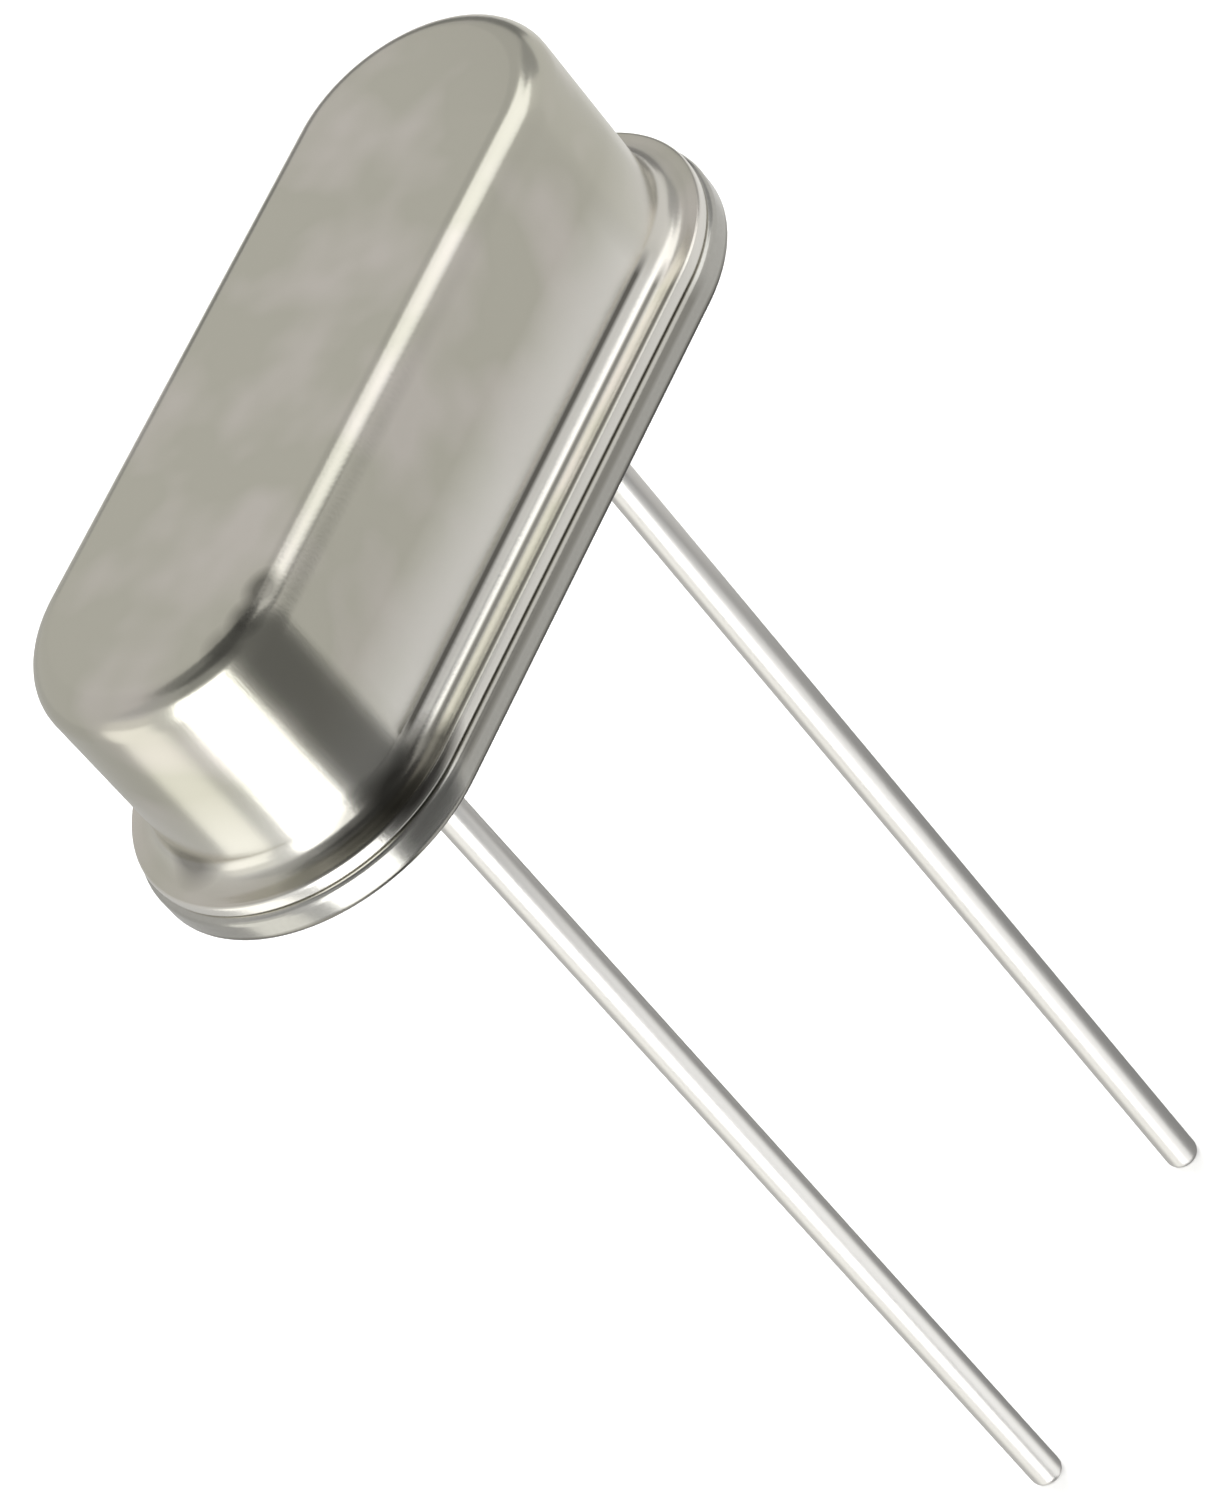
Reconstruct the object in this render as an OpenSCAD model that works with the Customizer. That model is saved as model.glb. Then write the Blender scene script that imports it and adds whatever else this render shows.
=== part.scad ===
// Quartz crystal unit in a low resistance-welded can, with two long wire leads.
// Millimetres. The seating plane, which is the underside of the base, is z = 0.
// +Z points up through the can, X runs along the can's length, and the leads point down.

/* [Can] */
// Length of the can's oval, over the walls
can_l = 10.35; // [9.5:0.05:13]
// Width of the can's oval, over the walls
can_w = 3.6; // [3:0.05:4.5]
// Height of the can's flat top above the seating plane
can_top = 3.45; // [2.85:0.05:5]
// Thickness of the drawn sheet
can_sheet = 0.2; // [0.15:0.01:0.3]
// Outside radius of the top edge, left by the punch
can_corner_r = 0.4; // [0.35:0.01:0.8]
// Outside radius where the wall turns out into the flange
can_foot_r = 0.3; // [0.1:0.01:0.36]
// Reach of the welding flange beyond the wall
can_flange = 0.44; // [0.38:0.01:0.7]
// Rounding of the flange's trimmed edge
can_edge_r = 0.06; // [0.03:0.01:0.07]

/* [Base] */
// Reach of the base's rim beyond the can's flange
rim_reach = 0.06; // [0.02:0.01:0.3]
// Thickness of the rim
rim_t = 0.4; // [0.3:0.01:0.7]
// Rounding of the rim's upper and lower edges
rim_edge_r = 0.1; // [0.04:0.01:0.14]
// Height of the island that stands up inside the can, above the rim
island_rise = 0.45; // [0.2:0.01:0.6]
// Clearance between the island and the can's wall
island_gap = 0.08; // [0.04:0.01:0.2]
// Rounding of the island's top edge
island_edge_r = 0.12; // [0.04:0.01:0.18]

/* [Leads] */
// Distance between the two leads
lead_pitch = 4.88; // [4:0.01:6]
// Diameter of the plated wire, below the seating plane
lead_d = 0.45; // [0.34:0.01:0.55]
// Thickness of the plating, which stops at the seating plane and leaves the wire in the glass bare
plating_t = 0.01; // [0.005:0.005:0.02]
// Length of each lead below the seating plane
lead_below = 16.5; // [3:0.1:25]
// Stretch of bare wire between the island and the welding head
lead_above = 0.35; // [0.2:0.01:0.5]
// Rounding of the lead's tip
lead_tip_r = 0.15; // [0.02:0.01:0.15]
// Diameter of the flattened head that the clip is welded to
head_d = 0.8; // [0.6:0.01:1]
// Thickness of that head
head_t = 0.12; // [0.08:0.01:0.2]

/* [Glass seals] */
// Diameter of the glass bead, which fills its hole in the base
seal_d = 1.3; // [1.1:0.01:1.7]
// Depth of the glass below the base's underside
seal_recess = 0.1; // [0.08:0.01:0.15]
// Height that the glass climbs up the wire at both of its ends
seal_climb = 0.08; // [0.03:0.01:0.08]

/* [Spring clips] */
// Thickness of the clip's sheet
clip_sheet = 0.1; // [0.06:0.01:0.14]
// Width of the clip's strip
clip_w = 0.9; // [0.6:0.01:1]
// Inside radius of every bend in the strip
clip_bend_r = 0.1; // [0.06:0.01:0.12]
// Length of the foot from the lead's centre towards the middle of the can
clip_foot_in = 0.45; // [0.35:0.01:0.7]
// Length of the foot from the lead's centre to the riser
clip_foot_out = 0.4; // [0.3:0.01:0.55]
// Height of the shelf above the foot, underside to underside
clip_rise = 0.45; // [0.4:0.01:0.55]
// Height of the end tab above the shelf
clip_tab = 0.4; // [0.25:0.01:0.45]
// Clearance between the clip's end tab and the can's end wall
end_room = 0.7; // [0.4:0.01:0.8]

/* [Crystal blank] */
// Thickness of the quartz, which sets the frequency
blank_t = 0.2; // [0.1:0.01:0.3]
// Clearance between the blank's long edges and the can's wall
side_room = 0.65; // [0.5:0.01:0.75]
// Clearance between the blank's end and the start of the clip's last bend
blank_end_gap = 0.02; // [0.01:0.01:0.1]
// Bevel ground along the blank's short edges
blank_bevel = 0.05; // [0.01:0.01:0.05]

/* [Electrodes] */
// Thickness of the silver film, drawn thicker than the real one so that it stays a solid
film_t = 0.02; // [0.02:0.01:0.04]
// Bare quartz between the electrode's pad and the blank's long edges
pad_side_margin = 0.25; // [0.1:0.01:0.3]
// Bare quartz between the electrode's pad and the clips' risers
pad_clip_gap = 0.74; // [0.2:0.01:1.2]
// Width of the tab that joins the pad to one end of the blank
tab_w = 0.4; // [0.2:0.01:0.5]

/* [Adhesive] */
// Diameter of the dot of conductive epoxy
dot_d = 0.8; // [0.5:0.01:0.85]
// Height of the dot above the blank
dot_rise = 0.1; // [0.06:0.01:0.15]
// Rounding of the dot's upper edge
dot_edge_r = 0.06; // [0.02:0.01:0.06]

/* [Hidden] */
$fn = 96;

// Plan: every outline is an oval around the same straight centre line
oval_run = can_l - can_w;
can_half_w = can_w / 2;
can_inner_half_w = can_half_w - can_sheet;
flange_half_w = can_half_w + can_flange;
rim_half_w = flange_half_w + rim_reach;
island_half_w = can_inner_half_w - island_gap;
lead_x = lead_pitch / 2;
lead_r = lead_d / 2;
wire_r = lead_r - plating_t;

// Levels, from the seating plane upwards
flange_top = rim_t + can_sheet;
island_top = rim_t + island_rise;
head_bottom = island_top + lead_above;
foot_bottom = head_bottom + head_t;
shelf_bottom = foot_bottom + clip_rise;
shelf_top = shelf_bottom + clip_sheet;
blank_bottom = shelf_top + film_t;
blank_top = blank_bottom + blank_t;

// Along X, from the can's end wall inwards
clip_end_x = can_l / 2 - can_sheet - end_room;
clip_tab_x = clip_end_x - clip_sheet;
blank_half_l = clip_tab_x - clip_bend_r - blank_end_gap;
blank_w = 2 * (can_inner_half_w - side_room);
riser_x = lead_x + clip_foot_out;
pad_half_l = riser_x - pad_clip_gap;
pad_w = blank_w - 2 * pad_side_margin;

LEFT = -1;
RIGHT = 1;

// ---- Shapes that repeat ----

// A quarter of a ring around a bend's centre; qx and qy say which quarter
module bend(centre, inner_r, thickness, qx, qy) {
    outer_r = inner_r + thickness;
    translate(centre)
        intersection() {
            difference() {
                circle(r = outer_r);
                circle(r = inner_r);
            }
            translate([qx < 0 ? -outer_r : 0, qy < 0 ? -outer_r : 0])
                square(outer_r);
        }
}

// A flat bar from x0 to x1 and y0 to y1, with both corners of its far end rounded
module rounded_bar(x0, x1, y0, y1, r) {
    translate([x0, y0])
        square([x1 - r - x0, y1 - y0]);
    translate([x0, y0 + r])
        square([x1 - x0, y1 - y0 - 2 * r]);
    for (y = [y0 + r, y1 - r])
        translate([x1 - r, y])
            circle(r = r);
}

// The same bar, with only its upper far corner rounded
module capped_bar(x0, x1, y0, y1, r) {
    translate([x0, y0])
        square([x1 - r - x0, y1 - y0]);
    translate([x0, y0])
        square([x1 - x0, y1 - y0 - r]);
    translate([x1 - r, y1 - r])
        circle(r = r);
}

// Carries a section around the oval: x is the distance from the centre line, y the height
module around_oval() {
    for (side = [LEFT, RIGHT])
        translate([side * oval_run / 2, 0, 0])
            rotate([0, 0, -side * 90])
                rotate_extrude(angle = 180)
                    children();
    rotate([90, 0, 90])
        linear_extrude(height = oval_run, center = true) {
            children();
            mirror([1, 0, 0])
                children();
        }
}

// ---- Can and base ----

// Section of the drawn can: one sheet from the flat top, down the wall and out into the flange
module can_section() {
    translate([0, can_top - can_sheet])
        square([can_half_w - can_corner_r, can_sheet]);
    bend(
        [can_half_w - can_corner_r, can_top - can_corner_r],
        can_corner_r - can_sheet, can_sheet, RIGHT, RIGHT
    );
    translate([can_inner_half_w, flange_top + can_foot_r])
        square([can_sheet, can_top - can_corner_r - flange_top - can_foot_r]);
    bend(
        [can_half_w + can_foot_r, flange_top + can_foot_r],
        can_foot_r, can_sheet, LEFT, LEFT
    );
    rounded_bar(can_half_w + can_foot_r, flange_half_w, rim_t, flange_top, can_edge_r);
}

module can() {
    color([0.69, 0.68, 0.63])
        around_oval()
            can_section();
}

module base_section() {
    rounded_bar(0, rim_half_w, 0, rim_t, rim_edge_r);
    capped_bar(0, island_half_w, rim_t, island_top, island_edge_r);
}

module base() {
    color([0.72, 0.71, 0.68])
        difference() {
            around_oval()
                base_section();
            for (side = [LEFT, RIGHT])
                translate([side * lead_x, 0, -rim_t])
                    cylinder(d = seal_d, h = island_top + 2 * rim_t);
        }
}

// ---- Leads and their seals ----

module seal_section() {
    polygon([
        [wire_r, seal_recess - seal_climb],
        [wire_r + seal_climb, seal_recess],
        [seal_d / 2, seal_recess],
        [seal_d / 2, island_top],
        [wire_r + seal_climb, island_top],
        [wire_r, island_top + seal_climb]
    ]);
}

module glass_seal(side) {
    color([0.16, 0.22, 0.2])
        translate([side * lead_x, 0, 0])
            rotate_extrude()
                seal_section();
}

// Half section of a lead: rounded tip, plated wire, bare wire in the glass, and welding head
module lead_section() {
    tip_centre_y = lead_tip_r - lead_below;
    translate([0, -lead_below])
        square([lead_r - lead_tip_r, lead_tip_r]);
    bend([lead_r - lead_tip_r, tip_centre_y], 0, lead_tip_r, RIGHT, LEFT);
    translate([0, tip_centre_y])
        square([lead_r, -tip_centre_y]);
    square([wire_r, head_bottom]);
    translate([0, head_bottom])
        square([head_d / 2, head_t]);
}

module lead(side) {
    color([0.8, 0.8, 0.8])
        translate([side * lead_x, 0, 0])
            rotate_extrude()
                lead_section();
}

// ---- What the can holds ----

// Side view of the bent strip, in X and Z: foot, riser, shelf and end tab
module clip_outline() {
    foot_start = lead_x - clip_foot_in;
    foot_bend = [riser_x - clip_bend_r, foot_bottom + clip_sheet + clip_bend_r];
    shelf_bend = [riser_x + clip_sheet + clip_bend_r, shelf_bottom - clip_bend_r];
    tab_bend = [clip_tab_x - clip_bend_r, shelf_top + clip_bend_r];
    translate([foot_start, foot_bottom])
        square([foot_bend.x - foot_start, clip_sheet]);
    bend(foot_bend, clip_bend_r, clip_sheet, RIGHT, LEFT);
    translate([riser_x, foot_bend.y])
        square([clip_sheet, shelf_bend.y - foot_bend.y]);
    bend(shelf_bend, clip_bend_r, clip_sheet, LEFT, RIGHT);
    translate([shelf_bend.x, shelf_bottom])
        square([tab_bend.x - shelf_bend.x, clip_sheet]);
    bend(tab_bend, clip_bend_r, clip_sheet, RIGHT, LEFT);
    translate([clip_tab_x, tab_bend.y])
        square([clip_sheet, shelf_top + clip_tab - tab_bend.y]);
}

module clip_solid() {
    rotate([90, 0, 0])
        linear_extrude(height = clip_w, center = true)
            clip_outline();
}

// Both ends hold the same parts; the left ones are the right ones mirrored
module at_end(side) {
    if (side == LEFT)
        mirror([1, 0, 0])
            children();
    else
        children();
}

module spring_clip(side) {
    color([0.74, 0.7, 0.6])
        at_end(side)
            clip_solid();
}

module quartz_blank() {
    color([0.86, 0.9, 0.93, 0.6])
        rotate([90, 0, 0])
            linear_extrude(height = blank_w, center = true)
                polygon([
                    [-blank_half_l, blank_bottom + blank_bevel],
                    [-blank_half_l + blank_bevel, blank_bottom],
                    [blank_half_l - blank_bevel, blank_bottom],
                    [blank_half_l, blank_bottom + blank_bevel],
                    [blank_half_l, blank_top - blank_bevel],
                    [blank_half_l - blank_bevel, blank_top],
                    [-blank_half_l + blank_bevel, blank_top],
                    [-blank_half_l, blank_top - blank_bevel]
                ]);
}

// A pad in the middle of the blank, with a tab that runs to the right-hand end
module electrode(level) {
    translate([0, 0, level])
        linear_extrude(height = film_t) {
            square([2 * pad_half_l, pad_w], center = true);
            translate([0, -tab_w / 2])
                square([blank_half_l - blank_bevel, tab_w]);
        }
}

module electrode_top() {
    color([0.88, 0.88, 0.87])
        at_end(LEFT)
            electrode(blank_top);
}

module electrode_bottom() {
    color([0.88, 0.88, 0.87])
        electrode(blank_bottom - film_t);
}

// The dot lies over the blank's end, fills the gap in front of the tab and wets the shelf
module adhesive_dot() {
    translate([clip_tab_x - dot_d / 2, 0, 0])
        rotate_extrude()
            capped_bar(0, dot_d / 2, shelf_top, blank_top + dot_rise, dot_edge_r);
    translate([clip_tab_x - dot_d / 2, -dot_d / 2, shelf_top])
        cube([dot_d / 2, dot_d, blank_top - shelf_top]);
}

module adhesive(side) {
    color([0.62, 0.61, 0.58])
        difference() {
            at_end(side)
                adhesive_dot();
            spring_clip(side);
            quartz_blank();
            electrode_top();
            electrode_bottom();
        }
}

can();
base();
glass_seal(LEFT);  // glass_seal_left
glass_seal(RIGHT);  // glass_seal_right
lead(LEFT);  // lead_left
lead(RIGHT);  // lead_right
spring_clip(LEFT);  // spring_clip_left
spring_clip(RIGHT);  // spring_clip_right
quartz_blank();
electrode_top();
electrode_bottom();
adhesive(LEFT);  // adhesive_left
adhesive(RIGHT);  // adhesive_right
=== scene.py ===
# %% [markdown]
# # A low crystal unit in a welded metal can
#
# The part is a quartz crystal in an oval can of drawn nickel silver. The can has a flange, which
# is welded to the rim of a plated steel base, and two long wires leave the base through beads of
# glass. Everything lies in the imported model's frame: metres, +Z up through the can's flat top, X
# along the can. Before each piece or finish, a few lines say what it is on the real part.

# %% The frame that every piece is fitted to
import math

import bmesh
import bpy
from mathutils import Matrix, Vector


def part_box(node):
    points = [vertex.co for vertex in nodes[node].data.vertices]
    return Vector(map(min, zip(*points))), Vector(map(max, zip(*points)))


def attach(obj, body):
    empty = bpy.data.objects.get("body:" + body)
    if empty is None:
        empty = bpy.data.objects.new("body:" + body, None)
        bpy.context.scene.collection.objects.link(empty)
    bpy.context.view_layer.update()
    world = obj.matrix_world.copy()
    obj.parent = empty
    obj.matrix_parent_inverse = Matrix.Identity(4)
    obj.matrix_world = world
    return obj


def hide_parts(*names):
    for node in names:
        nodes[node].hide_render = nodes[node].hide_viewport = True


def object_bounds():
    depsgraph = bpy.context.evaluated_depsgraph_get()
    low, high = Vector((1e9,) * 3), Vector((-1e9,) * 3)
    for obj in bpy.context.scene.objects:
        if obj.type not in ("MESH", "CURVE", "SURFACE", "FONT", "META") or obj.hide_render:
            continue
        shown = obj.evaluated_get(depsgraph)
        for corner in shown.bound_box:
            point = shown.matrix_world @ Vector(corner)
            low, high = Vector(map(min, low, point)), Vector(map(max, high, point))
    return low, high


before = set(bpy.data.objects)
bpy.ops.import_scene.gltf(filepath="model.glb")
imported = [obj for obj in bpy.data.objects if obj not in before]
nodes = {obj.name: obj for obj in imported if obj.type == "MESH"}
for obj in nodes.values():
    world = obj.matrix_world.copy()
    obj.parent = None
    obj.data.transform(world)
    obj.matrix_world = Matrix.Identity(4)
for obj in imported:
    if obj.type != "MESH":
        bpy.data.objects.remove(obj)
cad_low, cad_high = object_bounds()
spans = [round(1000 * span, 2) for span in cad_high - cad_low]
print("packed model:", len(nodes), "nodes,", spans, "mm")

# %% [markdown]
# ## Sizes
#
# The frame gives each node's box, and most sizes follow from those boxes. What a box can't tell
# is the sheet's thickness and the radii of the bends. Those few are the tools' real sizes, named
# in millimetres where their piece is made. Can and base share one oval, so it is measured first:
# two straight sides with a half circle at each end.

# %% The oval, from the frame's boxes
MM = 0.001

can_low, can_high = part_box("can")
base_low, base_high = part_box("base")
RIM_T = can_low.z
RIM_HALF_W = base_high.y
HALF_RUN = base_high.x - RIM_HALF_W
print("straight run", round(2 * HALF_RUN / MM, 2), "mm, rim", round(RIM_T / MM, 2), "mm thick")

# %% [markdown]
# ## Helpers for modelling
#
# Can and base are both one section carried round an oval, as their tools are cut. A section
# starts as a face with a few sharp corners. Bevelling its vertices rounds them, and then the face
# and the edge on the centre line go, so that an open profile is left.

# %% A rounded profile
ARC_STEPS = 10


def profile(corners, open_edge=True):
    """Edges of a section in the YZ plane. A corner is (distance from the axis, height, radius)."""
    bm = bmesh.new()
    points = [bm.verts.new((0, -out, up)) for out, up, _ in corners]
    face = bm.faces.new(points)
    axis_edge = bm.edges.get((points[-1], points[0])) if open_edge else None
    for point, (_, _, radius) in zip(points, corners):
        if radius:
            bmesh.ops.bevel(
                bm, geom=[point], offset=radius, affect="VERTICES",
                segments=ARC_STEPS, profile=0.5, material=-1,
            )
    bmesh.ops.delete(bm, geom=list(bm.faces), context="FACES_ONLY")
    if axis_edge:
        bmesh.ops.delete(bm, geom=[axis_edge], context="EDGES_FACES")
    return bm


# %% [markdown]
# ## The oval sweep
#
# Spin turns the profile half a turn round one end of the oval, an extrusion carries it down the
# straight side, and the same again closes the ring. Each sweep leaves doubled points at its seam
# and on its axis, so these are merged, and the faces are then turned outwards.

# %% Carrying a profile round the oval
END_STEPS = 72
MERGE = 1e-7


def close_up(bm):
    """Merges doubles, so that seams and poles close, and turns every face outwards."""
    bmesh.ops.remove_doubles(bm, verts=bm.verts, dist=MERGE)
    bmesh.ops.dissolve_degenerate(bm, edges=bm.edges, dist=MERGE)
    bmesh.ops.recalc_face_normals(bm, faces=bm.faces)


def carry_round_oval(bm, half_run):
    """Sweeps the profile round an oval of that half straight run."""
    bmesh.ops.translate(bm, verts=bm.verts, vec=(half_run, 0, 0))
    front = list(bm.verts) + list(bm.edges)
    for way in (1, -1):
        turned = bmesh.ops.spin(
            bm, geom=front, cent=(way * half_run, 0, 0), axis=(0, 0, 1),
            angle=math.pi, steps=END_STEPS, use_merge=False,
        )["geom_last"]
        last_edges = [part for part in turned if isinstance(part, bmesh.types.BMEdge)]
        front = bmesh.ops.extrude_edge_only(bm, edges=last_edges)["geom"]
        moved = [part for part in front if isinstance(part, bmesh.types.BMVert)]
        bmesh.ops.translate(bm, verts=moved, vec=(-way * 2 * half_run, 0, 0))
        front = moved + [
            part for part in front
            if isinstance(part, bmesh.types.BMEdge) and all(end in moved for end in part.verts)
        ]
    close_up(bm)


# %% [markdown]
# ## From a bmesh to a piece
#
# All faces are shaded smooth, because the bends flow into the flats. A Weighted Normal modifier
# gives the large flats the say at shared corners, so they stay truly flat and a bend starts where
# its arc does. Corners sharper than the limit are marked sharp, as between two cut faces.

# %% A finished piece
SHARP_ANGLE = math.radians(35)


def piece_from(bm, name, slot_name, *cad_nodes):
    """Makes an object that rides on the one body and replaces CAD nodes. The slot's name is not
    used.
    """
    for face in bm.faces:
        face.smooth = True
    for edge in bm.edges:
        edge.smooth = edge.calc_face_angle(0) < SHARP_ANGLE
    mesh = bpy.data.meshes.new(name)
    bm.to_mesh(mesh)
    bm.free()
    piece = bpy.data.objects.new(name, mesh)
    bpy.context.scene.collection.objects.link(piece)
    flats = piece.modifiers.new("flats_stay_flat", "WEIGHTED_NORMAL")
    flats.keep_sharp = True
    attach(piece, "root")
    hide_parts(*cad_nodes)
    print(name, len(mesh.polygons), "faces")


# %% [markdown]
# ## The can
#
# A press draws the can from one round-cornered blank of nickel silver, then trims its flange. So
# it is one sheet of even thickness: flat top, rounded corner, straight wall, wide bend, flange.
# The section below lists its outer side from the centre line down, and its inner side back up.

# %% The drawn can
CAN_SHEET = 0.2 * MM
CAN_CORNER_R = 0.4 * MM
CAN_FOOT_R = 0.3 * MM
CAN_FLANGE = 0.44 * MM
CAN_EDGE_R = 0.06 * MM
FLANGE_HALF_W = can_high.y
CAN_HALF_W = FLANGE_HALF_W - CAN_FLANGE
print("can", round(2 * CAN_HALF_W / MM, 2), "mm wide")

flange_top = RIM_T + CAN_SHEET
inner_half_w = CAN_HALF_W - CAN_SHEET
can_bm = profile([
    (0, can_high.z, 0),
    (CAN_HALF_W, can_high.z, CAN_CORNER_R),
    (CAN_HALF_W, flange_top, CAN_FOOT_R),
    (FLANGE_HALF_W, flange_top, CAN_EDGE_R),
    (FLANGE_HALF_W, RIM_T, CAN_EDGE_R),
    (inner_half_w, RIM_T, CAN_FOOT_R + CAN_SHEET),
    (inner_half_w, can_high.z - CAN_SHEET, CAN_CORNER_R - CAN_SHEET),
    (0, can_high.z - CAN_SHEET, 0),
])
carry_round_oval(can_bm, HALF_RUN)
piece_from(can_bm, "drawn_can", "can_nickel_silver", "can")

# %% [markdown]
# ## The base
#
# The base is stamped from steel strip: a flat rim that the flange is welded to, and an island
# that stands up inside the can with a little play. It goes round the same oval as the can.

# %% The stamped base
RIM_EDGE_R = 0.1 * MM
ISLAND_GAP = 0.08 * MM
ISLAND_EDGE_R = 0.12 * MM
ISLAND_HALF_W = inner_half_w - ISLAND_GAP

base_bm = profile([
    (0, 0, 0),
    (RIM_HALF_W, 0, RIM_EDGE_R),
    (RIM_HALF_W, RIM_T, RIM_EDGE_R),
    (ISLAND_HALF_W, RIM_T, 0),
    (ISLAND_HALF_W, base_high.z, ISLAND_EDGE_R),
    (0, base_high.z, 0),
])
carry_round_oval(base_bm, HALF_RUN)
print("island", round(2 * ISLAND_HALF_W / MM, 2), "mm wide")

# %% [markdown]
# ## Holes for the beads
#
# Two punched holes in the base take the glass beads. A Boolean cuts as a punch does, with a
# cylinder that goes right through, and the two cylinders are then removed.

# %% The punched holes
WIRE_STEPS = 64
PUNCH_REACH = 3  # a punch is this many times as long as its hole


def punched(bm, punches):
    """The same bmesh after each punch has cut its hole. A punch is (centre x, radius, height)."""
    blank_mesh = bpy.data.meshes.new("punching_blank")
    bm.to_mesh(blank_mesh)
    blank = bpy.data.objects.new("punching_blank", blank_mesh)
    bpy.context.scene.collection.objects.link(blank)
    tools = []
    for centre_x, radius, height in punches:
        tool_bm = bmesh.new()
        bmesh.ops.create_cone(
            tool_bm, cap_ends=True, segments=WIRE_STEPS, radius1=radius, radius2=radius,
            depth=PUNCH_REACH * height, matrix=Matrix.Translation((centre_x, 0, height / 2)),
        )
        tool_mesh = bpy.data.meshes.new("punch")
        tool_bm.to_mesh(tool_mesh)
        tool_bm.free()
        tool = bpy.data.objects.new("punch", tool_mesh)
        bpy.context.scene.collection.objects.link(tool)
        cut = blank.modifiers.new("hole", "BOOLEAN")
        cut.operation, cut.solver, cut.object = "DIFFERENCE", "EXACT", tool
        tools.append(tool)
    evaluated = blank.evaluated_get(bpy.context.evaluated_depsgraph_get())
    bm.clear()
    bm.from_mesh(evaluated.to_mesh())
    for spent in (blank, *tools):
        bpy.data.objects.remove(spent)
    close_up(bm)
    return bm


seal_boxes = {side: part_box("glass_seal_" + side) for side in ("left", "right")}
holes = [
    ((low.x + high.x) / 2, (high.x - low.x) / 2, base_high.z)
    for low, high in seal_boxes.values()
]
piece_from(punched(base_bm, holes), "stamped_base", "base_plated_steel", "base")

# %% [markdown]
# ## Leads and glass beads
#
# Each lead is a drawn wire with a flattened head, and its plating stops at the underside of the
# base. Both lead and bead are turned shapes, so each is one profile spun round the wire's axis.
# Molten glass climbs the wire a little way, and a bevelled corner gives the hollow curve that it
# leaves there.

# %% Leads and beads, left and right
WIRE_R = 0.215 * MM
PLATING = 0.01 * MM
TIP_R = 0.15 * MM
HEAD_T = 0.12 * MM
SEAL_RECESS = 0.1 * MM
SEAL_CLIMB = 0.08 * MM


def turn_round(bm, centre_x):
    """Turns the profile once round an upright axis, as on a lathe."""
    bmesh.ops.spin(
        bm, geom=list(bm.verts) + list(bm.edges), cent=(0, 0, 0), axis=(0, 0, 1),
        angle=math.tau, steps=WIRE_STEPS, use_merge=True,
    )
    bmesh.ops.translate(bm, verts=bm.verts, vec=(centre_x, 0, 0))
    close_up(bm)


for side in ("left", "right"):
    seal_low, seal_high = seal_boxes[side]
    lead_low, lead_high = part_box("lead_" + side)
    centre_x = (seal_low.x + seal_high.x) / 2
    bead_r = (seal_high.x - seal_low.x) / 2
    head_r = (lead_high.x - lead_low.x) / 2
    lead_bm = profile([
        (0, lead_low.z, 0),
        (WIRE_R + PLATING, lead_low.z, TIP_R),
        (WIRE_R + PLATING, 0, 0),
        (WIRE_R, 0, 0),
        (WIRE_R, lead_high.z - HEAD_T, 0),
        (head_r, lead_high.z - HEAD_T, 0),
        (head_r, lead_high.z, 0),
        (0, lead_high.z, 0),
    ])
    turn_round(lead_bm, centre_x)
    piece_from(lead_bm, "lead_wire_" + side, "lead_plated_wire", "lead_" + side)
    bead_bm = profile([
        (WIRE_R, SEAL_RECESS - SEAL_CLIMB, 0),
        (WIRE_R + SEAL_CLIMB, SEAL_RECESS, SEAL_CLIMB),
        (bead_r, SEAL_RECESS, 0),
        (bead_r, base_high.z, 0),
        (WIRE_R + SEAL_CLIMB, base_high.z, SEAL_CLIMB),
        (WIRE_R, base_high.z + SEAL_CLIMB, 0),
    ], open_edge=False)
    turn_round(bead_bm, centre_x)
    piece_from(bead_bm, "glass_bead_" + side, "seal_glass", "glass_seal_" + side)

# %% [markdown]
# ## Helpers for finishes
#
# Colours are written as the hex codes that a paint chart gives, and one function turns them
# linear. Another adds a node with its settings, values and links. Patterns read Object
# coordinates, which are metres here, so a noise whose spots are to be a given size across has the
# scale 1 / size.

# %% Colours, nodes and materials
MIX_A, MIX_B, MIX_RESULT = 6, 7, 2  # the colour sockets of a Mix node
NOISE_LOW, NOISE_HIGH = 0.3, 0.7  # nearly all values of a noise lie between these


def linear(code):
    """A #RRGGBB colour as linear RGBA, by the curve of the sRGB standard."""
    parts = [int(code[start:start + 2], 16) / 255 for start in (1, 3, 5)]
    return [p / 12.92 if p <= 0.04045 else ((p + 0.055) / 1.055) ** 2.4 for p in parts] + [1]


def feed(node, inputs):
    """Links each named input to the socket given for it, or sets it to the value given."""
    for name, source in inputs.items():
        if isinstance(source, bpy.types.NodeSocket):
            node.id_data.links.new(source, node.inputs[name])
        else:
            node.inputs[name].default_value = source


def add(tree, kind, inputs=None, **settings):
    """Adds a node to the tree, with its settings and inputs."""
    node = tree.nodes.new(kind)
    for name, setting in settings.items():
        setattr(node, name, setting)
    feed(node, inputs or {})
    return node


def new_material(name):
    """A material, its node tree and its Principled shader."""
    material = bpy.data.materials.new(name)
    material.use_nodes = True
    tree = material.node_tree
    return material, tree, tree.nodes["Principled BSDF"]


def finish_with(material, *names):
    """Gives these objects the material."""
    for name in names:
        slots = bpy.data.objects[name].data.materials
        slots.clear()
        slots.append(material)
    print(material.name, "on", ", ".join(names))


# %% [markdown]
# ## Nickel silver, drawn and tumbled
#
# Nickel silver is a warm grey alloy of copper, nickel and zinc. Drawing leaves fine upright lines
# on the walls, and tumbling in a barrel dulls the sheet to an even satin with faint cloudy
# patches. So the patches tint the metal and change its roughness a little, and grain and lines
# are a shallow bump. Real grain and lines are finer still: these are as coarse as they must be to
# show.

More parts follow.
